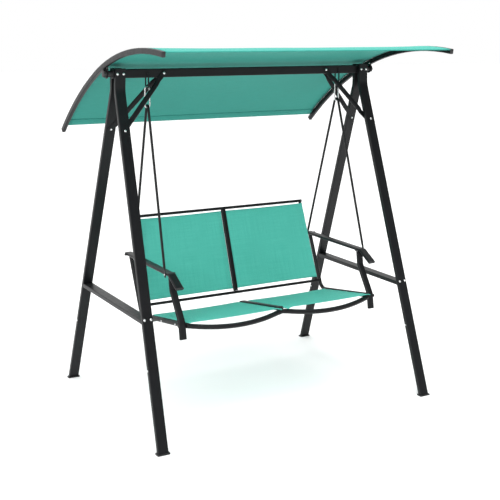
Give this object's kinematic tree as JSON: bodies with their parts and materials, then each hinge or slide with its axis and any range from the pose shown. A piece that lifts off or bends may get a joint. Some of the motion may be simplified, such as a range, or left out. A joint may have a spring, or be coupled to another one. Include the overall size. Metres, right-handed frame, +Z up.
{
  "type": "canopy porch swing",
  "caption": "Garden swing: sling seat with back and armrests hanging from a splayed-leg tube stand under a curved fabric canopy that tilts.",
  "frame": {"origin": "floor point at the centre of the part's box, between the four feet", "axes": "+Z up, +X along the beam to the right as one faces the swing's front, front towards -Y"},
  "size_m": [1.518, 1.1886, 1.7319],
  "materials": {
    "powder_coat": "satin black powder coat on steel tube",
    "black_plastic": "moulded black plastic, lightly textured",
    "zinc_plate": "bright zinc plated steel",
    "sling_cloth": "woven turquoise outdoor cloth, matt"
  },
  "bodies": {
    "frame": {"top_beam": "powder_coat", "leg_upper_front_left": "powder_coat", "leg_upper_rear_left": "powder_coat", "leg_upper_front_right": "powder_coat", "leg_upper_rear_right": "powder_coat", "leg_lower_front_left": "powder_coat", "leg_lower_rear_left": "powder_coat", "leg_lower_front_right": "powder_coat", "leg_lower_rear_right": "powder_coat", "foot_cap_front_left": "black_plastic", "foot_cap_rear_left": "black_plastic", "foot_cap_front_right": "black_plastic", "foot_cap_rear_right": "black_plastic", "side_stretcher_left": "powder_coat", "side_stretcher_right": "powder_coat", "brace_front_left": "powder_coat", "brace_rear_left": "powder_coat", "brace_front_right": "powder_coat", "brace_rear_right": "powder_coat", "beam_hanger_left": "powder_coat", "beam_hanger_right": "powder_coat", "beam_end_plug_left": "black_plastic", "beam_end_plug_right": "black_plastic"},
    "canopy": {"canopy_arch_left": "powder_coat", "canopy_arch_right": "powder_coat", "canopy_bracket_left": "powder_coat", "canopy_bracket_right": "powder_coat", "canopy_bar_front": "powder_coat", "canopy_bar_rear": "powder_coat", "canopy_cloth": "sling_cloth"},
    "knob_left": {"clamp_knob_left": "black_plastic"},
    "knob_right": {"clamp_knob_right": "black_plastic"},
    "hooks": {"snap_hook_left": "zinc_plate", "snap_hook_right": "zinc_plate"},
    "gate_left": {"hook_gate_left": "zinc_plate"},
    "gate_right": {"hook_gate_right": "zinc_plate"},
    "seat": {"hanger_rod_left": "powder_coat", "hanger_rod_right": "powder_coat", "armrest_left": "powder_coat", "armrest_right": "powder_coat", "arm_post_front_left": "powder_coat", "arm_post_front_right": "powder_coat", "side_frame_left": "powder_coat", "side_frame_right": "powder_coat", "seat_side_rail_left": "powder_coat", "seat_side_rail_right": "powder_coat", "seat_centre_bar": "powder_coat", "seat_front_rail": "powder_coat", "seat_cross_rail": "powder_coat", "back_top_rail": "powder_coat", "back_bottom_rail": "powder_coat", "back_stile_left": "powder_coat", "back_stile_right": "powder_coat", "back_centre_stile": "powder_coat", "seat_sling_left": "sling_cloth", "seat_sling_right": "sling_cloth", "back_sling_left": "sling_cloth", "back_sling_right": "sling_cloth"}
  },
  "joints": [
    {"name": "canopy_tilt", "type": "hinge", "parent": "frame", "child": "canopy", "pos_m": [0, 0.0249, 1.605], "axis": [1, 0, 0], "range_deg": [-15, 38]},
    {"name": "knob_left_turn", "type": "hinge", "parent": "frame", "child": "knob_left", "pos_m": [-0.735, 0.0249, 1.605], "axis": [-1, 0, 0], "continuous": true},
    {"name": "knob_right_turn", "type": "hinge", "parent": "frame", "child": "knob_right", "pos_m": [0.735, 0.0249, 1.605], "axis": [1, 0, 0], "continuous": true},
    {"name": "hook_swing", "type": "hinge", "parent": "frame", "child": "hooks", "pos_m": [0, 0.0249, 1.5445], "axis": [1, 0, 0], "range_deg": [-12, 12]},
    {"name": "gate_left_open", "type": "hinge", "parent": "hooks", "child": "gate_left", "pos_m": [-0.516, 0.0249, 1.479], "axis": [0, -1, 0], "range_deg": [0, 20], "stiffness_Nm_per_rad": 0.1, "springref_deg": -5.73},
    {"name": "gate_right_open", "type": "hinge", "parent": "hooks", "child": "gate_right", "pos_m": [0.516, 0.0249, 1.479], "axis": [0, 1, 0], "range_deg": [0, 20], "stiffness_Nm_per_rad": 0.1, "springref_deg": -5.73},
    {"name": "seat_swing", "type": "hinge", "parent": "hooks", "child": "seat", "pos_m": [0, 0.0249, 1.449], "axis": [1, 0, 0], "range_deg": [-12, 12]}
  ]
}
